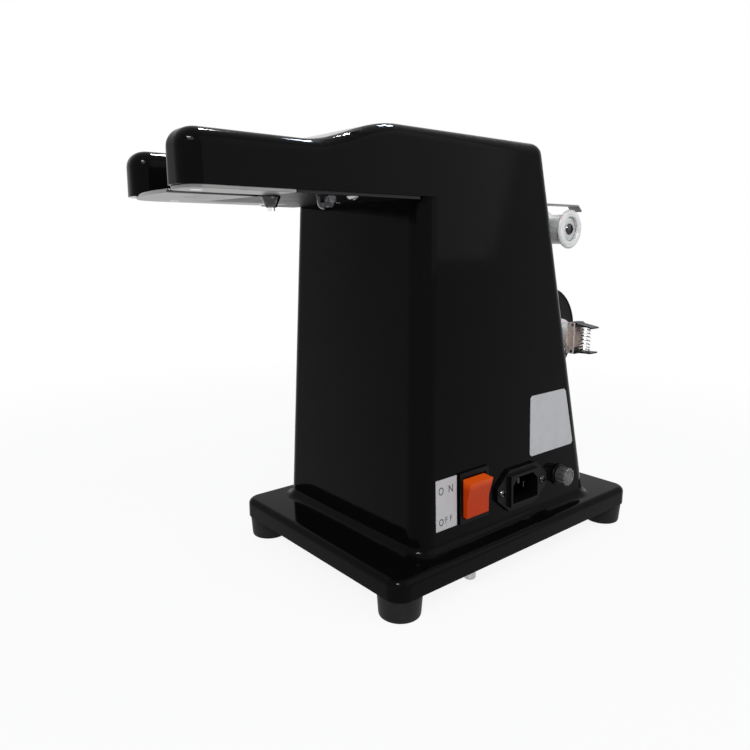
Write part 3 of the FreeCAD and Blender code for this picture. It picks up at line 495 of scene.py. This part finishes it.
# Merged copy of a frame node: smooth on its curves, its sharp edges softened by a small bevel
def softened(node, width, name=None):
    mesh = nodes[node].data.copy()
    work = bmesh.new()
    work.from_mesh(mesh)
    bmesh.ops.remove_doubles(work, verts=work.verts, dist=1e-6)
    bmesh.ops.dissolve_limit(work, angle_limit=math.radians(0.6), verts=work.verts, edges=work.edges)
    for face in work.faces:
        face.smooth = True
    for edge in work.edges:
        edge.smooth = len(edge.link_faces) == 2 and edge.calc_face_angle(0.0) < math.radians(32.0)
    work.to_mesh(mesh)
    work.free()
    piece = bpy.data.objects.new(name or node + "Soft", mesh)
    bpy.context.scene.collection.objects.link(piece)
    if width > 0:
        bevel = piece.modifiers.new("softEdge", "BEVEL")
        bevel.width = width
        bevel.segments = 2
        bevel.limit_method = "ANGLE"
        bevel.angle_limit = math.radians(35.0)
        bevel.harden_normals = False
    weigh = piece.modifiers.new("evenShade", "WEIGHTED_NORMAL")
    weigh.keep_sharp = True
    return finished(piece, looks.get(node, slotOf[node]), bodyOf[node], (node,))


softened("housing", 0.0, "housingShell")
softEdges = {
    "mains_inlet": 0.0005, "switch_frame": 0.0004, "rear_bracket": 0.0003, "clip_block": 0.0005,
    "clip_lever_upper": 0.0002, "clip_lever_lower": 0.0002, "roller_guard": 0.00015, "base_plate": 0.0003,
    "side_plate": 0.0001, "switch_label": 0.00005, "arm_plate_wide": 0.0002, "arm_plate_narrow": 0.0002,
    "head_cover": 0.0002, "switch_button": 0.0009, "fuse_holder": 0.0003, "inlet_pins": 0.0004,
}
for node, width in softEdges.items():
    softened(node, width)
print("housing and sheet parts dressed")

roller = {"place": (22.0, 116.3, 210.0), "core": 10.0, "flange": 13.1, "length": 24.0, "bore": 3.05,
          "well": 8.2}
core, flange, length = roller["core"], roller["flange"], roller["length"]
outline = [(roller["bore"], 0.0), (flange - 0.6, 0.0), (flange, 0.6), (flange, 1.8), (flange - 0.5, 2.3),
           (core + 0.8, 2.9), (core, 3.7), (core, length - 4.2), (core + 0.8, length - 3.4),
           (flange - 0.5, length - 2.6), (flange, length - 2.0), (flange, length - 1.2),
           (flange - 1.2, length), (roller["well"] + 0.6, length), (roller["well"], length - 0.6),
           (roller["well"], length - 2.5), (roller["bore"], length - 2.5)]
piece = built("guideRoller", [turned(roller["place"], (1, 0, 0), eased(outline, 0.5), 96)])
finished(piece, "white_nylon", bodyOf["guide_roller"], ("guide_roller",))

washer = {"place": (43.8, 116.3, 210.0), "radius": 7.6, "bore": 1.9, "thick": 0.6}
outline = [(washer["bore"], 0.0), (washer["radius"], 0.0), (washer["radius"], washer["thick"]),
           (washer["bore"], washer["thick"])]
piece = built("rollerWasher", [turned(washer["place"], (1, 0, 0), eased(outline, 0.12, 3))])
finished(piece, "zinc", bodyOf["roller_screw"])
rollerScrew = {"place": (44.4, 116.3, 210.0), "radius": 3.9, "rise": 1.9, "arm": 0.75, "reach": 2.5,
               "depth": 1.1, "sunk": 0.0, "cross": True}
piece = built("rollerScrew", [screwHead(rollerScrew["place"], (1.0, 0.0, 0.0), rollerScrew)])
finished(piece, "dark_polish", bodyOf["roller_screw"], ("roller_screw",))

disc = {"place": (15.4, 134.3, 133.5), "radius": 34.2, "rimIn": 33.2, "bore": 4.05,
        "thick": 2.4, "face": 1.9}
outline = [(disc["bore"], 0.0), (disc["radius"], 0.0), (disc["radius"], disc["thick"]),
           (disc["rimIn"], disc["thick"]), (disc["rimIn"] - 0.8, disc["face"]), (16.5, disc["face"]),
           (15.5, disc["thick"]), (disc["bore"], disc["thick"])]
piece = built("reelDisc", [turned(disc["place"], (1, 0, 0), eased(outline, 0.5), 128)])
finished(piece, "black_plastic", bodyOf["reel_disc"], ("reel_disc",))

hub = {"place": (17.8, 134.3, 133.5), "foot": 13.6, "top": 12.2, "length": 14.1, "bore": 4.05}
outline = [(hub["bore"], 0.0), (hub["foot"], 0.0), (hub["top"] + 0.4, 9.0), (hub["top"], 12.4),
           (11.0, hub["length"]), (9.8, hub["length"]), (hub["bore"], hub["length"])]
piece = built("reelHub", [turned(hub["place"], (1, 0, 0), eased(outline, 0.9, 6), 96)])
finished(piece, "white_nylon", bodyOf["reel_hub"], ("reel_hub",))

# Coil spring: a point runs round the axis while it climbs, slower at both closed ends
spring = {"axis": (50.2, 134.3), "low": 124.9, "high": 141.2, "radius": 3.9, "wire": 0.5, "turns": 7.5}
t = np.linspace(0.0, 1.0, 460)
climb = t - 0.045 * np.sin(2 * math.pi * t)
angle = 2 * math.pi * spring["turns"] * t
path = np.stack([spring["axis"][0] + spring["radius"] * np.cos(angle),
                 spring["axis"][1] + spring["radius"] * np.sin(angle),
                 spring["low"] + (spring["high"] - spring["low"]) * climb], -1)
turn = np.linspace(0.0, 2 * math.pi, 10, endpoint=False)
wire = spring["wire"] * np.stack([np.cos(turn), np.sin(turn)], -1)
piece = built("clipSpring", [carried(path, wire, np.array((0.0, 0.0, 1.0)))])
finished(piece, "bright", bodyOf["clip_spring"], ("clip_spring",))
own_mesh(piece)
print("roller, reel and clip dressed")

pan = {"along": 43.7, "height": 49.2, "out": 2.4, "apart": 40.0, "radius": 2.7, "rise": 1.6, "arm": 0.55,
       "reach": 1.9, "depth": 1.2, "sunk": 0.0, "cross": True}
patches = []
for side in (-0.5, 0.5):
    spot, normal, upright = onSide(pan["along"], pan["height"], pan["out"], side * pan["apart"])
    patches.append(screwHead(spot, normal, pan))
piece = built("inletScrews", patches)
finished(piece, "dark_polish", bodyOf["inlet_fasteners"], ("inlet_fasteners",))

# The heads and nuts stand on the underside of the head
headUnder = 223.4
sunkHead = {"radius": 2.7, "rise": 0.05, "arm": 0.4, "reach": 1.8, "depth": 0.9, "sunk": 1.2, "cross": True}
proudHead = {"radius": 2.9, "rise": 1.7, "arm": 0.45, "reach": 3.2, "depth": 0.8, "sunk": 0.0, "cross": False}
sunkSpots, proudSpot = [(-38.0, -130.0), (-38.0, -75.0), (46.0, -157.0), (5.0, -52.0)], (54.5, -80.0)
patches = [screwHead((x, y, headUnder), (0.0, 0.0, -1.0), sunkHead) for x, y in sunkSpots]
piece = built("headScrews", patches)
finished(piece, "bright", bodyOf["head_screws"], ("head_screws",))
piece = built("proudScrew", [screwHead(proudSpot + (headUnder,), (0.0, 0.0, -1.0), proudHead)])
finished(piece, "zinc", bodyOf["head_screws"])


# Flats of a nut: the radius is the flat distance over the cosine of the angle to the nearest of six flats
def sixFlats(flat, top):
    def flute(turn, radius, along):
        nearest = (turn + math.pi / 6) % (math.pi / 3) - math.pi / 6
        inner = np.minimum(radius, flat * mm / np.cos(nearest))
        return np.where(along < top * mm, inner - radius, 0.0)
    return flute


# Dome nut: six flats below a round dome; the cone nut is plainly turned
dome = {"place": (52.0, -94.0, headUnder), "flats": 4.4, "high": 3.4, "bore": 2.55}
high = dome["high"]
outline = [(dome["bore"], 0.0), (4.9, 0.0), (5.05, 0.3), (5.05, high - 0.6), (4.6, high), (4.25, high + 0.1),
           (4.1, high + 1.0), (3.4, high + 2.2), (2.2, high + 3.0), (0.9, high + 3.3), (0.0, high + 3.35),
           (0.0, 5.2), (dome["bore"], 5.2)]
shape = turned(dome["place"], (0, 0, -1), np.array(outline), 96, sixFlats(dome["flats"], high - 0.2))
piece = built("domeNut", [shape], 24.0)
finished(piece, "dark_polish", bodyOf["dome_nut"], ("dome_nut",))

cone = {"place": (30.0, -111.0, headUnder), "foot": 4.6, "tip": 2.7, "high": 5.4, "bore": 1.85}
high = cone["high"]
outline = [(cone["bore"], 0.0), (cone["foot"], 0.0), (cone["foot"], 0.7), (cone["tip"] + 0.1, high - 0.4),
           (cone["tip"] - 0.3, high), (cone["bore"], high)]
piece = built("coneNut", [turned(cone["place"], (0, 0, -1), eased(outline, 0.3, 3))])
finished(piece, "dark_polish", bodyOf["cone_nut"], ("cone_nut",))
print("screws and nuts dressed")

# Fuse cap: turned with twelve grip ribs, each a raised cosine cut flat at its top
fuseCap = {"along": 83.9, "height": 47.6, "radius": 5.5, "rib": 0.62, "ribs": 12, "high": 9.4}


def gripRibs(turn, radius, along):
    wave = np.clip(0.5 + 1.6 * np.cos(fuseCap["ribs"] * turn), 0.0, 1.0)
    grip = np.clip((along / mm - 2.9) / 0.5, 0, 1) * np.clip((9.3 - along / mm) / 0.5, 0, 1)
    return fuseCap["rib"] * mm * wave * grip * (radius > 4.7 * mm)


grip, high = fuseCap["radius"], fuseCap["high"]
outline = [(0.0, -6.0), (4.5, -6.0), (4.5, 1.9), (grip, 1.9), (grip, 2.7), (grip, 3.3), (grip, 3.6),
           (grip, 8.4), (grip, 8.8), (5.3, 9.2), (4.9, high), (4.2, high), (4.0, 9.0), (3.7, 9.0),
           (3.5, high), (0.0, high)]
spot, normal, upright = onSide(fuseCap["along"], fuseCap["height"])
piece = built("fuseCap", [turned(spot, normal, np.array(outline), 192, gripRibs)])
finished(piece, "grey_plastic", bodyOf["fuse_cap"], ("fuse_cap",))

foot = {"across": 68.4, "along": (-59.7, 141.9), "high": 14.0}
outline = [(2.1, 6.0), (3.9, 6.0), (3.9, 0.0), (10.9, 0.0), (11.7, 0.5), (12.0, 1.4), (12.9, foot["high"]),
           (2.1, foot["high"])]
patches = [turned((x, y, 0.0), (0, 0, 1), eased(outline, 0.6), 72)
           for x in (-foot["across"], foot["across"]) for y in foot["along"]]
piece = built("rubberFeet", patches)
finished(piece, "rubber", bodyOf["rubber_feet"], ("rubber_feet",))

# Lock screw under the base: a knurled head, its radius rippled by a cosine of many waves, and its nut
lock = {"place": (74.0, -9.0, 14.0), "radius": 3.5, "waves": 30, "ripple": 0.14, "flat": 3.5}


def knurl(turn, radius, along):
    side = np.clip((along / mm - 1.0) / 0.3, 0, 1) * np.clip((7.1 - along / mm) / 0.3, 0, 1)
    return lock["ripple"] * mm * np.cos(lock["waves"] * turn) * side * (radius > 3.2 * mm)


head = lock["radius"]
outline = [(0.0, -7.0), (2.5, -7.0), (2.5, 0.0), (head, 0.0), (head, 1.0), (head, 1.4), (head, 6.7),
           (head, 7.1), (3.1, 7.6), (2.0, 7.6), (1.7, 7.3), (1.7, 5.4), (0.0, 5.4)]
nutRing = [(2.55, -2.0), (4.0, -2.0), (4.0, -6.0), (2.55, -6.0)]
patches = [turned(lock["place"], (0, 0, -1), np.array(outline), 180, knurl),
           turned(lock["place"], (0, 0, -1), np.array(nutRing), 96, sixFlats(lock["flat"], 0.0))]
piece = built("lockScrew", patches)
finished(piece, "zinc", bodyOf["base_bolt"], ("base_bolt",))

# Each letter: its sidestep and height on the label, and its share of the full size
letters = {"high": 6.6, "thick": 0.04, "along": -23.5, "height": 54.5, "out": 0.32, "narrow": 0.8,
           "rows": (("O", -4.4, 8.2, 1.0), ("N", 3.5, 8.2, 1.0), ("O", -4.4, -10.4, 0.9),
                    ("F", -0.3, -9.9, 0.8), ("F", 3.6, -9.6, 0.8))}
patches = []
for letter, sidestep, up, share in letters["rows"]:
    curve = bpy.data.curves.new("letterCurve", "FONT")
    curve.body, curve.size, curve.extrude = letter, letters["high"] * share, letters["thick"]
    curve.align_x, curve.align_y = "CENTER", "CENTER"
    holder = bpy.data.objects.new("letterCurve", curve)
    bpy.context.scene.collection.objects.link(holder)
    bpy.context.view_layer.update()
    flat = holder.to_mesh()
    corners = np.empty(len(flat.vertices) * 3)
    flat.vertices.foreach_get("co", corners)
    corners = corners.reshape(-1, 3)
    spot, normal, upright = onSide(letters["along"], letters["height"], letters["out"], sidestep, up)
    placed = spot + corners[:, :1] * np.array((0.0, letters["narrow"], 0.0))
    placed = placed + corners[:, 1:2] * upright + corners[:, 2:] * normal
    patches.append((placed * mm, [list(face.vertices) for face in flat.polygons]))
    holder.to_mesh_clear()
    bpy.data.objects.remove(holder)
piece = built("switchLetters", patches)
finished(piece, "ink", bodyOf["switch_label"])
print("fuse cap, feet, lock screw and letters dressed")

stage = {"white": 1.0, "floorSize": 8.0, "floorTone": (0.86, 0.86, 0.86), "shade": 0.11, "fadeFrom": 0.30,
         "fadeOver": 0.45, "fillTone": (0.92, 0.95, 1.0), "fill": 0.55}
bpy.ops.mesh.primitive_plane_add(size=stage["floorSize"], location=(0.0, 0.0, 0.0))
floor = bpy.context.object
floor.name = "studioFloor"


# White for the eye and for gloss, plain pale floor for light that bounces
def backdrop(tree, surface, plain, share):
    path = tree.nodes.new("ShaderNodeLightPath")
    seen = tree.nodes.new("ShaderNodeMath")
    seen.operation = "MAXIMUM"
    glass = tree.nodes.new("ShaderNodeMath")
    glass.operation = "MAXIMUM"
    tree.links.new(path.outputs["Is Camera Ray"], seen.inputs[0])
    tree.links.new(path.outputs["Is Glossy Ray"], seen.inputs[1])
    tree.links.new(seen.outputs[0], glass.inputs[0])
    tree.links.new(path.outputs["Is Transmission Ray"], glass.inputs[1])
    part = tree.nodes.new("ShaderNodeMath")
    part.operation = "MULTIPLY"
    tree.links.new(glass.outputs[0], part.inputs[0])
    if isinstance(share, float):
        part.inputs[1].default_value = share
    else:
        tree.links.new(share, part.inputs[1])
    mix = tree.nodes.new("ShaderNodeMixShader")
    tree.links.new(part.outputs[0], mix.inputs[0])
    tree.links.new(plain, mix.inputs[1])
    tree.links.new(surface, mix.inputs[2])
    return mix.outputs[0]


floorMaterial = bpy.data.materials.new("studioFloor")
floorMaterial.use_nodes = True
tree = floorMaterial.node_tree
tree.nodes.clear()
out = tree.nodes.new("ShaderNodeOutputMaterial")
diffuse = tree.nodes.new("ShaderNodeBsdfDiffuse")
diffuse.inputs["Color"].default_value = stage["floorTone"] + (1.0,)
glow = tree.nodes.new("ShaderNodeEmission")
glow.inputs["Strength"].default_value = stage["white"]
# The floor keeps its shadow near the machine, and fades into the white further out
place = tree.nodes.new("ShaderNodeTexCoord")
reach = tree.nodes.new("ShaderNodeVectorMath")
reach.operation = "LENGTH"
tree.links.new(place.outputs["Object"], reach.inputs[0])
share = tree.nodes.new("ShaderNodeMapRange")
for socketName, value in (("From Min", stage["fadeFrom"]), ("To Min", 1.0 - stage["shade"]), ("To Max", 1.0),
                          ("From Max", stage["fadeFrom"] + stage["fadeOver"])):
    share.inputs[socketName].default_value = value
tree.links.new(reach.outputs["Value"], share.inputs["Value"])
surface = backdrop(tree, glow.outputs[0], diffuse.outputs[0], share.outputs["Result"])
tree.links.new(surface, out.inputs["Surface"])
floor.data.materials.append(floorMaterial)

world = bpy.data.worlds.new("studio")
world.use_nodes = True
bpy.context.scene.world = world
tree = world.node_tree
tree.nodes.clear()
out = tree.nodes.new("ShaderNodeOutputWorld")
glow = tree.nodes.new("ShaderNodeBackground")
glow.inputs["Color"].default_value = (1.0, 1.0, 1.0, 1.0)
glow.inputs["Strength"].default_value = stage["white"]
fill = tree.nodes.new("ShaderNodeBackground")
fill.inputs["Color"].default_value = stage["fillTone"] + (1.0,)
fill.inputs["Strength"].default_value = stage["fill"]
tree.links.new(backdrop(tree, glow.outputs[0], fill.outputs[0], 1.0), out.inputs["Surface"])

# Lamps marked glossOnly put short bright dashes on the gloss and leave the plain tones alone
white, cool = (1.0, 1.0, 1.0), (0.72, 0.84, 1.0)
lamps = [
    {"name": "keyBox", "place": (0.75, -0.95, 1.05), "aim": (0.0, -0.02, 0.12), "size": (0.5, 0.5),
     "watts": 9.0, "tint": white, "glossOnly": False},
    {"name": "sideBox", "place": (1.1, 0.55, 0.8), "aim": (0.0, 0.05, 0.12), "size": (1.3, 1.3),
     "watts": 5.0, "tint": white, "glossOnly": False},
    {"name": "frontDash", "place": (0.62, -1.0, 1.15), "aim": (0.05, -0.02, 0.05), "size": (0.34, 0.10),
     "watts": 30.0, "tint": white, "glossOnly": True},
    {"name": "prongDash", "place": (-0.30, 0.22, 1.07), "aim": (0.03, -0.08, 0.2), "size": (0.12, 0.07),
     "watts": 14.0, "tint": white, "glossOnly": True},
    {"name": "crestDash", "place": (-0.18, 0.50, 1.07), "aim": (0.05, -0.03, 0.25), "size": (0.18, 0.06),
     "watts": 8.0, "tint": cool, "glossOnly": True},
]
for lamp in lamps:
    light = bpy.data.lights.new(lamp["name"], "AREA")
    light.shape = "RECTANGLE"
    light.size, light.size_y = lamp["size"]
    light.energy = lamp["watts"]
    light.color = lamp["tint"]
    holder = bpy.data.objects.new(lamp["name"], light)
    holder.location = lamp["place"]
    holder.rotation_euler = (Vector(lamp["aim"]) - Vector(lamp["place"])).to_track_quat("-Z", "Y").to_euler()
    holder.visible_diffuse = not lamp["glossOnly"]
    bpy.context.scene.collection.objects.link(holder)
print("stage lit")
